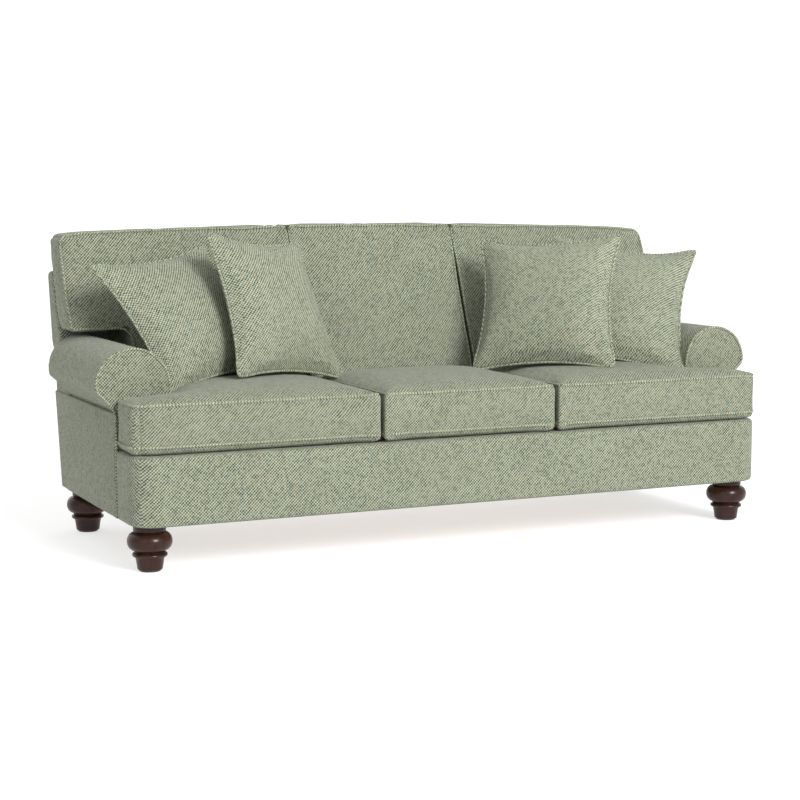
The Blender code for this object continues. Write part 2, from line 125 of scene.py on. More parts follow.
weave = bpy.data.node_groups.new("tweed_weave", "ShaderNodeTree")
weave.interface.new_socket("Vector", in_out="INPUT", socket_type="NodeSocketVector")
weave.interface.new_socket("Color", in_out="OUTPUT", socket_type="NodeSocketColor")
weave.interface.new_socket("Height", in_out="OUTPUT", socket_type="NodeSocketFloat")
given = new_node(weave, "NodeGroupInput")
split = new_node(weave, "ShaderNodeSeparateXYZ")
weave.links.new(given.outputs["Vector"], split.inputs[0])
u, v = split.outputs[0], split.outputs[1]
wobble = new_node(weave, "ShaderNodeTexNoise")
wobble.inputs["Scale"].default_value = 60.0
weave.links.new(given.outputs["Vector"], wobble.inputs["Vector"])
drift = sums(weave, "MULTIPLY", wobble.outputs[0], DRIFT)
rising = sums(weave, "ADD", sums(weave, "ADD", v, u), drift)
falling = sums(weave, "ADD", sums(weave, "SUBTRACT", v, u), drift)
twill = sums(weave, "SINE", sums(weave, "MULTIPLY", falling, 2 * math.pi / TWILL))
cross = sums(weave, "SINE", sums(weave, "MULTIPLY", rising, 2 * math.pi / CROSS))
slanted = sums(weave, "MULTIPLY", twill, TWILL_SHARE)
crossing = sums(weave, "MULTIPLY", cross, CROSS_SHARE)
level = sums(weave, "ADD", slanted, crossing)
level = sums(weave, "ADD", level, 0.5)
cells = new_node(weave, "ShaderNodeTexVoronoi", voronoi_dimensions="2D")
cells.inputs["Scale"].default_value = 1 / YARN
weave.links.new(given.outputs["Vector"], cells.inputs["Vector"])
pick = new_node(weave, "ShaderNodeSeparateColor")
weave.links.new(cells.outputs["Color"], pick.inputs[0])
ramp = new_node(weave, "ShaderNodeValToRGB")
ramp.color_ramp.interpolation = "CONSTANT"
stops = ((0.0, TEAL), (0.16, OCHRE), (0.28, CREAM), (0.45, DARK_YARN), (0.60, PALE_YARN))
for place, colour in stops:
    stop = ramp.color_ramp.elements[0] if place == 0 else ramp.color_ramp.elements.new(place)
    stop.color = colour
weave.links.new(pick.outputs[0], ramp.inputs[0])
cloud = new_node(weave, "ShaderNodeTexNoise")
cloud.inputs["Scale"].default_value = 5.0
weave.links.new(given.outputs["Vector"], cloud.inputs["Vector"])
shade = sums(weave, "ADD", sums(weave, "MULTIPLY", cloud.outputs[0], 0.20), 0.90)
yarns = mixed(weave, level, DARK_YARN, PALE_YARN)
flecked = mixed(weave, FLECK_SHARE, yarns, ramp.outputs[0])
grey = new_node(weave, "ShaderNodeCombineColor")
for slot in range(3):
    weave.links.new(shade, grey.inputs[slot])
tone = mixed(weave, 1.0, flecked, grey.outputs[0], "MULTIPLY")
out = new_node(weave, "NodeGroupOutput")
weave.links.new(tone, out.inputs["Color"])
weave.links.new(level, out.inputs["Height"])
print("weave group with", len(weave.nodes), "nodes")

# %% [markdown]
# Cloth needs no gloss, only a little sheen from loose fibres. The yarn colour is darkened or
# lightened by one tint. The pillows get a lighter copy of the cloth, painted light for their
# faces that tip up to the lamps, and the welt cord a paler one, a painted highlight on the raised cord.


# %% Fabric materials
def principled(name, roughness):
    made = bpy.data.materials.new(name)
    made.use_nodes = True
    shader = made.node_tree.nodes["Principled BSDF"]
    shader.inputs["Roughness"].default_value = roughness
    return made, made.node_tree, shader


def fabric(name, tint, depth):
    made, tree, shader = principled(name, 0.95)
    chart = new_node(tree, "ShaderNodeUVMap", uv_map="cloth")
    cloth = new_node(tree, "ShaderNodeGroup", node_tree=weave)
    tree.links.new(chart.outputs[0], cloth.inputs[0])
    dyed = mixed(tree, 1.0, cloth.outputs["Color"], tint, "MULTIPLY")
    tree.links.new(dyed, shader.inputs["Base Color"])
    bump = new_node(tree, "ShaderNodeBump")
    bump.inputs["Strength"].default_value = 0.45
    bump.inputs["Distance"].default_value = depth
    tree.links.new(cloth.outputs["Height"], bump.inputs["Height"])
    tree.links.new(bump.outputs[0], shader.inputs["Normal"])
    shader.inputs["Specular IOR Level"].default_value = 0.12
    shader.inputs["Sheen Weight"].default_value = 0.12
    shader.inputs["Sheen Roughness"].default_value = 0.5
    return made


tweed = fabric("sage_tweed", (0.90, 0.90, 0.91, 1), 0.0009)
# Painted light: the pillows' cloth is tinted lighter than the rest, for the light on their upturned faces
pillow_tweed_painted_light = fabric("pillow_tweed_painted_light", (1.02, 1.02, 1.03, 1), 0.0009)
# Painted highlight: the welt cord's cloth is tinted paler than the rest, for the light along the raised cord
welt_cloth_painted_highlight = fabric("welt_tweed_painted_highlight", (1.10, 1.10, 1.08, 1), 0.0004)
print("fabrics", tweed.name, pillow_tweed_painted_light.name, welt_cloth_painted_highlight.name)

# %% [markdown]
# The feet are turned hardwood, stained almost black-brown and lacquered. Stretched noise along
# the grain shows through the stain, and a clear coat gives the sharp highlights. The planed
# timber under the seat uses the same grain group in a pale colour.

# %% Wood, steel and nylon
grain = bpy.data.node_groups.new("wood_grain", "ShaderNodeTree")
grain.interface.new_socket("Vector", in_out="INPUT", socket_type="NodeSocketVector")
grain.interface.new_socket("Dark", in_out="INPUT", socket_type="NodeSocketColor")
grain.interface.new_socket("Pale", in_out="INPUT", socket_type="NodeSocketColor")
grain.interface.new_socket("Color", in_out="OUTPUT", socket_type="NodeSocketColor")
grain.interface.new_socket("Figure", in_out="OUTPUT", socket_type="NodeSocketFloat")
given = new_node(grain, "NodeGroupInput")
streak = new_node(grain, "ShaderNodeTexNoise")
streak.inputs["Scale"].default_value = 9.0
streak.inputs["Detail"].default_value = 6.0
streak.inputs["Distortion"].default_value = 0.6
grain.links.new(given.outputs["Vector"], streak.inputs["Vector"])
out = new_node(grain, "NodeGroupOutput")
stain = mixed(grain, streak.outputs[0], given.outputs["Dark"], given.outputs["Pale"])
grain.links.new(stain, out.inputs["Color"])
grain.links.new(streak.outputs[0], out.inputs["Figure"])


def wood(name, dark, pale, stretch, roughness, gloss, coat):
    made, tree, shader = principled(name, roughness)
    spot = new_node(tree, "ShaderNodeTexCoord")
    turn = new_node(tree, "ShaderNodeMapping")
    turn.inputs["Scale"].default_value = stretch
    tree.links.new(spot.outputs["Object"], turn.inputs[0])
    figure = new_node(tree, "ShaderNodeGroup", node_tree=grain)
    figure.inputs["Dark"].default_value = dark
    figure.inputs["Pale"].default_value = pale
    tree.links.new(turn.outputs[0], figure.inputs["Vector"])
    tree.links.new(figure.outputs["Color"], shader.inputs["Base Color"])
    bump = new_node(tree, "ShaderNodeBump")
    bump.inputs["Strength"].default_value = 0.08
    bump.inputs["Distance"].default_value = 0.0006
    tree.links.new(figure.outputs["Figure"], bump.inputs["Height"])
    tree.links.new(bump.outputs[0], shader.inputs["Normal"])
    shader.inputs["Specular IOR Level"].default_value = gloss
    shader.inputs["Coat Weight"].default_value = coat
    shader.inputs["Coat Roughness"].default_value = 0.05
    return made


espresso = wood("espresso_lacquer", (0.006, 0.0025, 0.0018, 1), (0.048, 0.018, 0.011, 1), (6, 6, 1.2),
                0.36, 0.14, 0.24)
beech = wood("planed_beech", (0.50, 0.33, 0.19, 1), (0.70, 0.52, 0.34, 1), (8, 1, 8), 0.62, 0.32, 0.0)


def hazy(name, roughness, metallic, scale, dark, pale):
    # A plain finish with fine uneven spots
    made, tree, shader = principled(name, roughness)
    shader.inputs["Metallic"].default_value = metallic
    spot = new_node(tree, "ShaderNodeTexCoord")
    haze = new_node(tree, "ShaderNodeTexNoise")
    haze.inputs["Scale"].default_value = scale
    tree.links.new(spot.outputs["Object"], haze.inputs["Vector"])
    tree.links.new(mixed(tree, haze.outputs[0], dark, pale), shader.inputs["Base Color"])
    return made


steel = hazy("rolled_steel", 0.38, 1.0, 40.0, (0.42, 0.43, 0.44, 1), (0.62, 0.63, 0.64, 1))
nylon = hazy("moulded_nylon", 0.55, 0.0, 300.0, (0.02, 0.02, 0.02, 1), (0.05, 0.05, 0.05, 1))
for node, piece in frame["nodes"].items():
    finish = {"timber": beech, "channel_steel": steel, "glide_nylon": nylon}.get(SLOT_OF[node])
    if finish:
        piece.data.materials.clear()
        piece.data.materials.append(finish)
print("hard finishes on the carried-over pieces")

# %% [markdown]
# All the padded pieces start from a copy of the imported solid, so they can't drift from their
# place. The copy is merged, cut into even cells by a voxel remesh and eased, which rounds the
# edges as wadding under cloth does. The weave then needs a flat map in metres: each face is
# laid out square to the axis that it faces, so the yarns keep one size everywhere.


# %% Helpers for padded pieces
def only(piece):
    bpy.ops.object.select_all(action="DESELECT")
    piece.select_set(True)
    bpy.context.view_layer.objects.active = piece


def apply_all(piece):
    only(piece)
    for name in [modifier.name for modifier in piece.modifiers]:
        bpy.ops.object.modifier_apply(modifier=name)


def copied(node, name):
    piece = bpy.data.objects.new(name, frame["nodes"][node].data.copy())
    bpy.context.scene.collection.objects.link(piece)
    piece.data.materials.clear()
    only(piece)
    bpy.ops.object.mode_set(mode="EDIT")
    bpy.ops.mesh.select_all(action="SELECT")
    bpy.ops.mesh.remove_doubles(threshold=0.0001)
    bpy.ops.object.mode_set(mode="OBJECT")
    return piece


def eased(piece, voxel, passes):
    cut = piece.modifiers.new("cells", "REMESH")
    cut.mode = "VOXEL"
    cut.voxel_size = voxel
    ease = piece.modifiers.new("ease", "SMOOTH")
    ease.factor = 0.5
    ease.iterations = passes
    apply_all(piece)
    return piece


def points_of(mesh):
    flat = np.zeros(len(mesh.vertices) * 3)
    mesh.vertices.foreach_get("co", flat)
    return flat.reshape(-1, 3)


def lay_cloth(piece, turn=np.eye(3)):
    # Flat map in metres, square to the axis that each face looks along, in the turned frame
    mesh = piece.data
    spots = points_of(mesh) @ turn.T
    corners = np.zeros(len(mesh.loops), int)
    mesh.loops.foreach_get("vertex_index", corners)
    normals = np.zeros(len(mesh.polygons) * 3)
    mesh.polygons.foreach_get("normal", normals)
    facing = np.abs(normals.reshape(-1, 3) @ turn.T).argmax(1)
    sizes = np.zeros(len(mesh.polygons), int)
    mesh.polygons.foreach_get("loop_total", sizes)
    facing = np.repeat(facing, sizes)
    axes = np.array([[1, 2], [0, 2], [0, 1]])[facing]
    chart = np.take_along_axis(spots[corners], axes, 1)
    layer = mesh.uv_layers.get("cloth") or mesh.uv_layers.new(name="cloth")
    layer.data.foreach_set("uv", chart.ravel())


def dress(piece, nodes, finish, turn=np.eye(3)):
    # Smooth, mapped, in its cloth, on its body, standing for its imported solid
    for face in piece.data.polygons:
        face.use_smooth = True
    lay_cloth(piece, turn)
    piece.data.materials.append(finish)
    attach(piece, BODY_OF[nodes[0]])
    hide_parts(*nodes)
    print(piece.name, len(piece.data.polygons), "faces")


def write_points(piece, spots):
    piece.data.vertices.foreach_set("co", np.ascontiguousarray(spots).ravel())
    piece.data.update()


def round_corner(spots, axes, corner, inward, radius):
    # Bend the square corner seen along the third axis to an arc; inward holds the two signs
    centre = np.array(corner) + np.array(inward) * radius
    out = -(spots[:, axes] - centre) * np.array(inward)
    inside = (out > 0).all(1)
    reach = np.linalg.norm(out, axis=1)
    share = np.where(inside, out.max(1) / np.maximum(reach, 1e-9), 1.0)
    spots[:, axes] = centre - out * share[:, None] * np.array(inward)
    return spots


def square_corner(spots, axes, corner, inward, radius, power=8):
    # The opposite: fill a drawn-in corner out towards the square
    centre = np.array(corner) + np.array(inward) * radius
    out = -(spots[:, axes] - centre) * np.array(inward)
    inside = (out > 0).all(1)
    unit = np.abs(out) / np.maximum(np.linalg.norm(out, axis=1, keepdims=True), 1e-9)
    share = np.where(inside, (unit ** power).sum(1) ** (-1 / power), 1.0)
    spots[:, axes] = centre - out * share[:, None] * np.array(inward)
    return spots


def fade(values, start, end):
    # 0 at start, 1 at end, eased
    t = np.clip((values - start) / (end - start), 0.0, 1.0)
    return t * t * (3 - 2 * t)


def surface_of(piece):
    return BVHTree.FromPolygons([vertex.co for vertex in piece.data.vertices],
                                [list(face.vertices) for face in piece.data.polygons])


# %% [markdown]
# Welts are cords sewn into the seams. Each follows the nominal edge of its cushion, is drawn to
# the nearest point of the stuffed surface, eased along its length, and swept as a round tube. A
# raised rim on the cushion itself would be simpler, but would have no shadow line under it.

# %% Welt helpers
WELT_RADIUS = 0.0040
WELT_STEP = 0.012


def rounded(points, radii):
    # Closed polygon with its corners rounded, as a dense run of points
    run = []
    for spot, (corner, radius) in enumerate(zip(points, radii)):
        before, after = Vector(points[spot - 1]), Vector(points[(spot + 1) % len(points)])
        corner = Vector(corner)
        start = corner + (before - corner).normalized() * radius
        end = corner + (after - corner).normalized() * radius
        for part in range(7):
            t = part / 6
            run.append(start * (1 - t) ** 2 + corner * 2 * t * (1 - t) + end * t * t)
    return run


def even(points, closed):
    # The same run with points at equal steps
    run = [Vector(point) for point in points] + ([Vector(points[0])] if closed else [])
    lengths = [0.0]
    for first, second in zip(run, run[1:]):
        lengths.append(lengths[-1] + (second - first).length)
    count = max(int(lengths[-1] / WELT_STEP), 8)
    spots = np.linspace(0, lengths[-1], count, endpoint=not closed)
    flat = np.array(run)
    return np.stack([np.interp(spots, lengths, flat[:, axis]) for axis in range(3)], 1)


def welt(name, points, surface, body, closed=True, sink=0.18, radius=WELT_RADIUS):
    path = even(points, closed)
    drawn = []
    for point in path:
        place, normal, _, _ = surface.find_nearest(Vector(point))
        drawn.append(place + normal * radius * (1 - 2 * sink))
    drawn = np.array(drawn)
    for _ in range(3):
        ahead, behind = np.roll(drawn, -1, 0), np.roll(drawn, 1, 0)
        moved = 0.5 * drawn + 0.25 * (ahead + behind)
        if not closed:
            moved[0], moved[-1] = drawn[0], drawn[-1]
        drawn = moved
    curve = bpy.data.curves.new(name, "CURVE")
    curve.dimensions = "3D"
    curve.bevel_depth = radius
    curve.bevel_resolution = 3
    curve.use_fill_caps = True
    spline = curve.splines.new("POLY")
    spline.points.add(len(drawn) - 1)
    spline.points.foreach_set("co", np.column_stack([drawn, np.ones(len(drawn))]).ravel())
    spline.use_cyclic_u = closed
    piece = bpy.data.objects.new(name, curve)
    bpy.context.scene.collection.objects.link(piece)
    only(piece)
    bpy.ops.object.convert(target="MESH")
    piece = bpy.context.object
    for face in piece.data.polygons:
        face.use_smooth = True
    lay_cloth(piece)
    piece.data.materials.append(welt_cloth_painted_highlight)
    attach(piece, body)
    return piece


# %% [markdown]
# Frame upholstery: the back frame and the front border are firm, tight pieces over timber and
# wadding. They could be simulated like the cushions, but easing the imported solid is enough.

# %% Back frame and border
FIRM_VOXEL = 0.007
FIRM_PASSES = 6
SIDE_TUCK = 0.009      # back frame's sides drawn in below the arm, where the side panel covers them
TUCK_WIDE = (0.95, 1.04)
TUCK_HIGH = (0.54, 0.62)
border = eased(copied("front_border", "front_border_cover"), FIRM_VOXEL, FIRM_PASSES)
dress(border, ["front_border"], tweed)
back = eased(copied("back_frame", "back_frame_cover"), FIRM_VOXEL, FIRM_PASSES)
spots = points_of(back.data)
tuck = fade(np.abs(spots[:, 0]), *TUCK_WIDE) * (1 - fade(spots[:, 2], *TUCK_HIGH)) * SIDE_TUCK
spots[:, 0] -= np.sign(spots[:, 0]) * tuck
write_points(back, spots)
dress(back, ["back_frame"], tweed)

# %% [markdown]
# Arms: each is a roll over an upright, in one tight cover with a fold under the roll. The front
# panel is edged with a welt that follows the roll and runs down the outer edge to the base. The
# fold is pressed into the eased solid, which keeps the cover in one piece.

# %% Rolled arms
NECK_DROP = 0.090      # roll centre down to where the side panel starts
CREASE = 0.009         # depth of the fold under the roll
CREASE_SPREAD = 0.012
CREASE_WIDE = (1.00, 1.05)
FLARE = 0.057          # how far the roll stands out from the side panel
EDGE_OUT = 0.004       # how far outside the edge the welt's path starts, before it is drawn in
base_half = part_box("front_border")[1].x
for word, side in (("left", -1), ("right", 1)):
    node = f"{word}_arm"
    cover = eased(copied(node, node + "_cover"), FIRM_VOXEL, FIRM_PASSES)
    low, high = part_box(node)
    spots = points_of(cover.data)
    neck = high.z - (high.x - low.x) / 2 - 0.8 * NECK_DROP
    fold = np.exp(-((spots[:, 2] - neck) / CREASE_SPREAD) ** 2) * fade(np.abs(spots[:, 0]), *CREASE_WIDE)
    spots[:, 0] -= side * fold * CREASE
    write_points(cover, spots)
    dress(cover, [node], tweed)
    inner, outer = sorted((abs(low.x), abs(high.x)))
    radius = (outer - inner) / 2
    centre = Vector(((inner + outer) / 2, high.z - radius))
    front = low.y - EDGE_OUT
    path = [(inner - EDGE_OUT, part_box("front_border")[1].z), (inner - EDGE_OUT, centre.y)]
    for step in range(1, 25):
        turn = math.radians(180 - 186 * step / 24)
        path.append((centre.x + (radius + EDGE_OUT) * math.cos(turn),
                     centre.y + (radius + EDGE_OUT) * math.sin(turn)))
    path += [(base_half + 0.7 * FLARE, centre.y - 0.024), (base_half + 0.3 * FLARE, centre.y - 0.048),
             (base_half + EDGE_OUT, centre.y - 0.75 * NECK_DROP),
             (base_half + EDGE_OUT, centre.y - NECK_DROP), (base_half + EDGE_OUT, low.z + EDGE_OUT)]
    welt(f"{word}_arm_welt", [(side * x, front, z) for x, z in path], surface_of(cover),
         BODY_OF[node], closed=False, sink=0.20)
print("arms dressed")

# %% [markdown]
# Side panels: below the fold the cover runs flat over the seam of arm and back. A cube with its
# corners set to the panel's outline is quicker and cleaner than joining the two covers.

# %% Side panels
PANEL_FRONT, PANEL_BOTTOM, PANEL_TOP = -0.276, 0.142, 0.446
PANEL_REAR_LOW, PANEL_REAR_HIGH = 0.345, 0.409
PANEL_THICK = 0.012
PANEL_PROUD = 0.0025   # how far it stands out from the base
PANEL_EDGE = 0.005
for word, side in (("left", -1), ("right", 1)):
    bpy.ops.object.select_all(action="DESELECT")
    bpy.ops.mesh.primitive_cube_add(size=2)
    panel = bpy.context.object
    panel.name = f"{word}_side_panel"
    for vertex in panel.data.vertices:
        rear = PANEL_REAR_LOW if vertex.co.z < 0 else PANEL_REAR_HIGH
        depth = base_half + PANEL_PROUD - (PANEL_THICK if vertex.co.x * side < 0 else 0.0)
        vertex.co = (side * depth, PANEL_FRONT if vertex.co.y < 0 else rear,
                     PANEL_BOTTOM if vertex.co.z < 0 else PANEL_TOP)
    soft = panel.modifiers.new("soft edge", "BEVEL")
    soft.width = PANEL_EDGE
    soft.segments = 3
    apply_all(panel)
    bpy.ops.object.shade_smooth_by_angle(angle=math.radians(60))
    lay_cloth(panel)
    panel.data.materials.append(tweed)
    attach(panel, "sofa_frame")
print("side panels closed")

# %% [markdown]
# Cushions and pillows are stuffed cloth bags. Each copy is blown up by a cloth simulation with air
# pressure and no gravity, and no point may travel further than a cap. A bag draws in its edges as
# it fills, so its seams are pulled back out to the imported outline. One subdivision smooths it.
# Pushing points along their normals would be faster, but gives every cushion the same dome.

# %% Stuffing
STUFF_FRAMES = 14


def stuffed(piece, pressure, cap, low, high, taut):
    scene = bpy.context.scene
    start = points_of(piece.data)
    cloth = piece.modifiers.new("bag", "CLOTH")
    cloth.settings.quality = 4
    cloth.settings.mass = 0.25
    cloth.settings.tension_stiffness = 22
    cloth.settings.compression_stiffness = 22
    cloth.settings.shear_stiffness = 10
    cloth.settings.bending_stiffness = 0.8
    cloth.settings.use_pressure = True
    cloth.settings.uniform_pressure_force = pressure
    cloth.settings.effector_weights.gravity = 0
    cloth.collision_settings.use_collision = False
    cloth.point_cache.frame_start = 1
    cloth.point_cache.frame_end = STUFF_FRAMES
    for number in range(1, STUFF_FRAMES + 1):
        scene.frame_set(number)
    seen = piece.evaluated_get(bpy.context.evaluated_depsgraph_get())
    blown = points_of(seen.data)
    piece.modifiers.remove(cloth)
    scene.frame_set(1)
    travel = blown - start
    reach = np.linalg.norm(travel, axis=1, keepdims=True)
    filled = start + travel * np.minimum(1.0, cap / np.maximum(reach, 1e-9))
    for axis in taut:
        first, last = filled[:, axis].min(), filled[:, axis].max()
        share = (start[:, axis].max() - start[:, axis].min()) / (last - first)
        filled[:, axis] = start[:, axis].min() + (filled[:, axis] - first) * share
    start = filled
    start = np.clip(start, np.array(low), np.array(high))
    write_points(piece, start)
    ease = piece.modifiers.new("ease", "SMOOTH")
    ease.factor = 0.5
    ease.iterations = 3
    finer = piece.modifiers.new("finer", "SUBSURF")
    finer.levels = finer.render_levels = 1
    apply_all(piece)
    return piece


CUSHION_VOXEL = 0.010
CUSHION_PASSES = 4
CUSHION_PRESSURE = 4.0
CUSHION_CAP = 0.008
SIDE_SPARE = 0.003     # how far a cushion may stand past its packed side
TOP_SPARE = 0.012
FRONT_SPARE = 0.004

# %% [markdown]
# Seat cushions: boxed foam with a soft wrap. The outer two have a tongue in front of the arm, so
# their outline has an elbow, which is read from the arm's corner. Neighbours press together, so
# the corners at the joints are filled out square. A welt runs round the top edge and another
# round the bottom edge.

# %% Seat cushions
TONGUE_ROUND = 0.065   # plan rounding of the outer front corners, as on the border below
JOINT_ROUND = 0.010    # and of the other corners, where the bags press together
JOINT_FILL = 0.060     # size of the drawn-in corner that is filled out there
END_FILL = 0.018       # how far the tongue swells past its solid at the outer end
END_SPREAD = 0.03      # and how far inside the arm's face that swelling starts
TOP_WELT, BOTTOM_WELT = 0.4890, 0.3640
ARM_CLEAR = 0.0065     # air between the bag and the arm that it wraps
arm_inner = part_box("right_arm")[0].x
arm_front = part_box("right_arm")[0].y
elbow, tongue = arm_inner - ARM_CLEAR, arm_front - ARM_CLEAR
for word, side in (("left", -1), ("middle", 0), ("right", 1)):
    node = f"{word}_seat_cushion"
    low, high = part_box(node)
    bag = eased(copied(node, node + "_stuffed"), CUSHION_VOXEL, CUSHION_PASSES)
    bag = stuffed(bag, CUSHION_PRESSURE, CUSHION_CAP,
                  (low.x - SIDE_SPARE, low.y - SIDE_SPARE, low.z),
                  (high.x + SIDE_SPARE, high.y + SIDE_SPARE, high.z + TOP_SPARE), (0, 1))
    spots = points_of(bag.data)
    for edge, inward in ((low.x, 1), (high.x, -1)):
        outer = side and side * inward < 0
        if outer:
            spots = round_corner(spots, [0, 1], (edge, low.y), (inward, 1), TONGUE_ROUND)
        else:
            spots = square_corner(spots, [0, 1], (edge, low.y), (inward, 1), JOINT_FILL)
    spots = np.clip(spots, (low.x, low.y - SIDE_SPARE, low.z), (high.x, high.y, high.z + TOP_SPARE))
    near, far = sorted((abs(low.x), abs(high.x)))
    if side:
        swell = fade(np.abs(spots[:, 0]), elbow - END_SPREAD, far)
        spots[:, 0] += side * END_FILL * swell
        past_side, past_front = np.abs(spots[:, 0]) - elbow, spots[:, 1] - tongue
        inside = (past_side > 0) & (past_front > 0)
        spots[:, 0] -= side * np.where(inside & (past_side < past_front), past_side, 0.0)
        spots[:, 1] -= np.where(inside & (past_side >= past_front), past_front, 0.0)
    write_points(bag, spots)
    dress(bag, [node], tweed)
    if side:
        far += END_FILL
        plan = [(near, low.y), (far, low.y), (far, tongue), (elbow, tongue), (elbow, high.y),
                (near, high.y)]
        plan = [(side * x, y) for x, y in plan]
        radii = [JOINT_ROUND, TONGUE_ROUND] + [JOINT_ROUND] * 4
    else:
        plan = [(low.x, low.y), (high.x, low.y), (high.x, high.y), (low.x, high.y)]
        radii = [JOINT_ROUND] * 4
    for edge, z in (("top", TOP_WELT), ("bottom", BOTTOM_WELT)):
        run = rounded([(x, y, z) for x, y in plan], radii)
        welt(f"{node}_{edge}_welt", run, surface_of(bag), BODY_OF[node])

# %% [markdown]
# Back cushions lean on the back frame. The front face has the crown, and the welt runs round the
# front edge. The outer two have an ear over the arm, so their outline has an elbow too. They are
# stuffed as the seats are, and their front corners are filled out along the slope of the back.

# %% Back cushions
EAR_ROUND = 0.034      # top outer corner, seen from the front
EAR_DROP = 0.015       # how far the ear sags towards the arm
CREST_JOINT = 0.032    # size of the filled corner at the top of a joint
EAR_FILL = 0.014       # how far the ear swells past its solid at the outer end
TOP_FILL = 0.011       # and the top edge upwards, with a little more at the outer end
END_LIFT = 0.006
END_WIDE = (0.40, 1.00)
CREST_HIGH = (0.70, 0.92)
EAR_GAP = 0.032        # ear above the arm's top, before it sags
EAR_CLEAR = 0.008      # air between the bag and the arm's inner face
EAR_EASE = (0.02, 0.03)
EAR_FADE = 0.12
EAR_FALL = 0.024       # how much lower the top is at the outer end
LEAN = math.tan(math.radians(22.6))
BEND_Z = 0.500         # height where the back starts to lean
for word, side in (("left", -1), ("middle", 0), ("right", 1)):
    node = f"{word}_back_cushion"
    low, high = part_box(node)
    bag = eased(copied(node, node + "_stuffed"), CUSHION_VOXEL, CUSHION_PASSES)
    bag = stuffed(bag, CUSHION_PRESSURE, CUSHION_CAP,
                  (low.x - SIDE_SPARE, low.y - FRONT_SPARE, low.z),
                  (high.x + SIDE_SPARE, high.y, high.z + SIDE_SPARE), (0, 2))
    near, far = sorted((abs(low.x), abs(high.x)))
    elbow, ear = arm_inner - EAR_CLEAR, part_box("right_arm")[1].z + EAR_GAP
    fall = EAR_FALL if side else 0.0
    spots = points_of(bag.data)
    for edge, inward in ((low.x, 1), (high.x, -1)):
        outer = side and side * inward < 0
        top = high.z - (fall if outer else 0.0)
        if outer:
            spots = round_corner(spots, [0, 2], (edge, top), (inward, -1), EAR_ROUND)
            continue
        spots = square_corner(spots, [0, 2], (edge, top), (inward, -1), CREST_JOINT)
        slope = LEAN * np.maximum(spots[:, 2] - BEND_Z, 0.0)
        spots[:, 1] -= slope
        spots = square_corner(spots, [0, 1], (edge, low.y), (inward, 1), JOINT_FILL)
        spots[:, 1] += slope
    spots[:, 0] = np.clip(spots[:, 0], low.x, high.x)
    spots[:, 2] = np.minimum(spots[:, 2], high.z)
    ends = fade(np.abs(spots[:, 0]), *END_WIDE)
    spots[:, 2] += (TOP_FILL + END_LIFT * ends) * fade(spots[:, 2], *CREST_HIGH)
    if side:
        spots[:, 0] += side * EAR_FILL * fade(np.abs(spots[:, 0]), elbow, far)
        over_arm = fade(np.abs(spots[:, 0]), elbow - EAR_EASE[0], elbow + EAR_EASE[1])
        spots[:, 2] -= EAR_DROP * over_arm * (1 - fade(spots[:, 2], ear, ear + EAR_FADE))
    write_points(bag, spots)
    dress(bag, [node], tweed)
    crest = high.z + TOP_FILL
    if side:
        ear -= EAR_DROP
        far += EAR_FILL
        plan = [(near, low.z), (elbow, low.z), (elbow, ear), (far, ear),
                (far, crest + END_LIFT - fall), (near, crest)]
        plan = [(side * x, z) for x, z in plan]
        radii = [JOINT_ROUND] * 4 + [EAR_ROUND, JOINT_ROUND]
    else:
        plan = [(low.x, low.z), (high.x, low.z), (high.x, crest), (low.x, crest)]
        radii = [JOINT_ROUND] * 4
    run = even(rounded([(x, 0.0, z) for x, z in plan], radii), True)
    run = [(p.x, low.y + LEAN * max(p.z - BEND_Z, 0.0), p.z) for p in map(Vector, run)]
    welt(f"{node}_welt", run, surface_of(bag), BODY_OF[node])

# %% [markdown]
# Pillows are knife-edged: two squares sewn together with a welt, pointed at the corners and drawn
# in along the sides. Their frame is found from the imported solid: the thin direction, then the
# direction of the furthest corner. The weave follows that frame. They are stuffed like the cushions
# and then pulled about a little, because no two loose pillows sit alike.

# %% Pillows
PILLOW_VOXEL = 0.006
PILLOW_PRESSURE = 3.0
PILLOW_CAP = 0.006
SEAM_STEPS = 40        # points of the welt's path along one side
SEAM_OUT = 1.02        # and how far outside the seam they start, as a share
PINCH = 0.17           # how far the seams draw in at mid side, as a share of half the size
FULL = 0.085           # how much of that the stuffing fills out again
FOLD = 0.0035          # height of the pull folds that start at the corners
FOLD_PLACE, FOLD_SPREAD = 0.42, 0.24
FOLD_COUNT = 9
SEAM_THICK = 0.02      # the folds die out where the bag is thinner than this
SAG = 0.022            # how far the lower seam settles towards the seat at mid side
# How much each bag is plumped beyond its solid, rolled in its own plane in degrees, narrowed at
# the top as a share, and pulled out at its upper right corner in metres
PLUMP = {"left_end_pillow": (1.07, 2.0, 0.0, 0.0), "left_front_pillow": (1.07, -4.0, 0.16, 0.0),
         "right_front_pillow": (1.06, 2.0, 0.0, 0.0), "right_end_pillow": (1.12, -5.0, 0.0, 0.026)}


def pillow_frame(node):
    spots = points_of(frame["nodes"][node].data)
    _, axes = np.linalg.eigh(np.cov((spots - spots.mean(0)).T))
    thin = axes[:, 0] if axes[1, 0] < 0 else -axes[:, 0]
    away = spots - spots.mean(0)
    away = away - np.outer(away @ thin, thin)
    upper = away[(np.linalg.norm(away, axis=1) + 0.2 * away[:, 2]).argmax()]
    corner = upper / np.linalg.norm(upper)
    across = np.cross(thin, corner)
    wide, tall = (corner + across) / math.sqrt(2), (corner - across) / math.sqrt(2)
    if abs(wide[2]) > abs(tall[2]):
        wide, tall = tall, wide
    return np.sign(wide[0]) * wide, np.sign(tall[2]) * tall, thin, np.linalg.norm(upper)


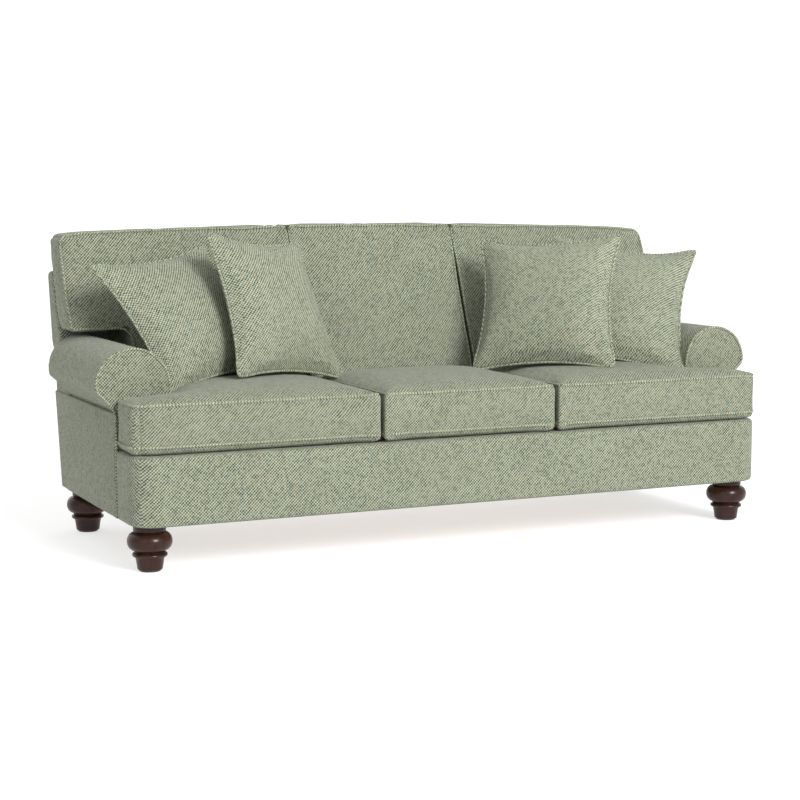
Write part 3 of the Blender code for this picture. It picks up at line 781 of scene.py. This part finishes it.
def shape_bag(spots, foot, wide, tall, thin, half, size, roll, taper, ear):
    # Roll and plump about the foot, fill out the sides, and raise folds that run in from the corners
    turn = math.radians(roll)
    flat = np.stack([(spots - foot) @ wide, (spots - foot) @ thin, (spots - foot) @ tall], 1)
    across = (flat[:, 0] * math.cos(turn) - flat[:, 2] * math.sin(turn)) * size
    up = (flat[:, 0] * math.sin(turn) + flat[:, 2] * math.cos(turn)) * size
    a, b = flat[:, 0] / half, flat[:, 2] / half - 1
    across = across + FULL * half * a * np.clip(1 - b * b, 0, 1)
    across = across - taper * half * a * np.clip((b + 1) / 2, 0, 1)
    up = up + FULL * half * np.maximum(b, 0) * np.clip(1 - a * a, 0, 1)
    pull = ear * np.clip(a, 0, 1) ** 3 * np.clip(b, 0, 1) ** 3
    across, up = across + 0.5 * pull, up + pull
    up = up - SAG * np.clip(1 - a * a, 0, 1) * fade(-b, 0.2, 0.95)
    depth = flat[:, 1]
    for number, (ca, cb) in enumerate(((1, 1), (-1, 1), (1, -1), (-1, -1))):
        da, db = ca - a, cb - b
        reach = np.hypot(da, db)
        angle = np.arctan2(db * cb, da * ca) - math.pi / 4
        ridge = np.cos(FOLD_COUNT * angle + 1.3 * number) * np.exp(-((reach - FOLD_PLACE) / FOLD_SPREAD) ** 2)
        depth = depth + np.sign(flat[:, 1]) * FOLD * ridge * np.clip(np.abs(flat[:, 1]) / SEAM_THICK, 0, 1)
    return foot + np.outer(across, wide) + np.outer(up, tall) + np.outer(depth, thin)


for node, plump in PLUMP.items():
    wide, tall, thin, reach = pillow_frame(node)
    low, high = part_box(node)
    half = reach / math.sqrt(2)
    centre = points_of(frame["nodes"][node].data).mean(0)
    foot = centre - half * tall
    bag = eased(copied(node, node + "_stuffed"), PILLOW_VOXEL, 1)
    bag = stuffed(bag, PILLOW_PRESSURE, PILLOW_CAP, np.array(low) - SIDE_SPARE, np.array(high) + SIDE_SPARE,
                  (0, 1, 2))
    write_points(bag, shape_bag(points_of(bag.data), foot, wide, tall, thin, half, *plump))
    dress(bag, [node], pillow_tweed_painted_light, np.stack([wide, thin, tall]))
    run = []
    for step in range(4 * SEAM_STEPS):
        side, part = divmod(step / SEAM_STEPS, 1.0)
        t = 2 * part - 1
        a, b = ((t, -1), (1, t), (-t, 1), (-1, -t))[int(side)]
        a, b = a * (1 - PINCH * (1 - b * b)), b * (1 - PINCH * (1 - a * a))
        run.append(centre + SEAM_OUT * half * (a * wide + b * tall))
    run = shape_bag(np.array(run), foot, wide, tall, thin, half, *plump)
    welt(f"{node}_welt", run, surface_of(bag), BODY_OF[node])

# %% [markdown]
# Feet: on the real sofa each is turned on a lathe. Here one is raised ring by ring from a circle,
# which is the same idea by hand, with enough sides to look round, and copied to the four places.

# %% Turned feet
SIDES = 64


def foot_rings(top):
    # Radius and height from the floor end up: taper, ring, neck, bun, collar
    rings = [(0.0345, 0.0043), (0.0365, 0.0060), (0.0400, 0.0300), (0.0425, 0.0405), (0.0440, 0.0425)]
    for step in range(9):
        t = math.radians(-80 + 160 * step / 8)
        rings.append((0.0460 + 0.0050 * math.cos(t), 0.0480 + 0.0055 * math.sin(t)))
    rings.append((0.0435, 0.0560))
    for step in range(17):
        t = math.radians(-82 + 164 * step / 16)
        rings.append((0.0435 + 0.0220 * math.cos(t), 0.0870 + 0.0265 * math.sin(t)))
    rings += [(0.0440, 0.1155), (0.0462, 0.1162), (0.0474, 0.1178), (0.0475, top - 0.002),
              (0.0465, top)]
    return rings


rings = foot_rings(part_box("front_left_foot")[1].z)
bpy.ops.object.select_all(action="DESELECT")
bpy.ops.mesh.primitive_circle_add(vertices=SIDES, radius=rings[0][0], fill_type="NGON",
                                  location=(0, 0, rings[0][1]))
model = bpy.context.object
bpy.ops.object.mode_set(mode="EDIT")
bpy.ops.mesh.select_mode(type="FACE")
bpy.ops.mesh.select_all(action="SELECT")
for (r0, z0), (r1, z1) in zip(rings, rings[1:]):
    bpy.ops.mesh.extrude_region_move(TRANSFORM_OT_translate={"value": (0, 0, z1 - z0)})
    bpy.ops.transform.resize(value=(r1 / r0, r1 / r0, 1), center_override=(0, 0, z1))
bpy.ops.mesh.select_all(action="SELECT")
bpy.ops.mesh.normals_make_consistent(inside=False)
bpy.ops.object.mode_set(mode="OBJECT")
only(model)
bpy.ops.object.transform_apply(location=True, rotation=True, scale=True)
bpy.ops.object.shade_smooth_by_angle(angle=math.radians(40))
for node in ("front_left_foot", "front_right_foot", "rear_left_foot", "rear_right_foot"):
    low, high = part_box(node)
    piece = bpy.data.objects.new(node + "_turned", model.data.copy())
    bpy.context.scene.collection.objects.link(piece)
    piece.data.transform(Matrix.Translation(((low.x + high.x) / 2, (low.y + high.y) / 2, 0)))
    piece.data.materials.append(espresso)
    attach(piece, BODY_OF[node])
    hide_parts(node)
bpy.data.objects.remove(model, do_unlink=True)
print("feet with", len(rings), "rings")

# %% [markdown]
# A studio cut-out look: white floor and backdrop, even fill from all round, and one broad soft
# key from the front, so that the left side falls a little darker, as in the photograph.

# %% Floor and light
bpy.ops.object.select_all(action="DESELECT")
bpy.ops.mesh.primitive_plane_add(size=60)
floor = bpy.context.object
floor.name = "studio_floor"
bpy.ops.object.select_all(action="DESELECT")
bpy.ops.mesh.primitive_plane_add(size=60, location=(0, 18, 0), rotation=(math.pi / 2, 0, 0))
backdrop = bpy.context.object
backdrop.name = "studio_backdrop"
# A white wall all round, for views from other sides; it is only seen, and lights nothing
bpy.ops.object.select_all(action="DESELECT")
bpy.ops.mesh.primitive_cylinder_add(vertices=48, radius=26, depth=60, end_fill_type="NOTHING")
surround = bpy.context.object
surround.name = "studio_surround"
surround.visible_diffuse = surround.visible_glossy = surround.visible_shadow = False
for piece, albedo, glow in ((floor, 0.50, 0.60), (backdrop, 0.40, 0.90), (surround, 0.0, 1.0)):
    paint, tree, shader = principled(piece.name + "_paint", 0.9)
    shader.inputs["Base Color"].default_value = (albedo, albedo, albedo, 1)
    shader.inputs["Specular IOR Level"].default_value = 0.0
    shader.inputs["Emission Color"].default_value = (1, 1, 1, 1)
    shader.inputs["Emission Strength"].default_value = glow
    piece.data.materials.append(paint)


def soft_light(name, place, aim, size, power):
    bpy.ops.object.light_add(type="AREA", location=place)
    lamp = bpy.context.object
    lamp.name = name
    lamp.data.shape = "DISK"
    lamp.data.size = size
    lamp.data.energy = power
    lamp.rotation_euler = (Vector(aim) - Vector(place)).to_track_quat("-Z", "Y").to_euler()


soft_light("key", (2.0, -10.5, 6.0), (0, 0, 0.4), 5.0, 1580)
soft_light("fill", (-8.0, -7.0, 4.0), (0, 0, 0.4), 5.0, 60)
world = bpy.data.worlds.new("studio")
world.use_nodes = True
world.node_tree.nodes["Background"].inputs[0].default_value = (1, 1, 1, 1)
world.node_tree.nodes["Background"].inputs[1].default_value = 0.72
bpy.context.scene.world = world
bpy.context.scene.view_settings.view_transform = "Standard"
print("studio ready")
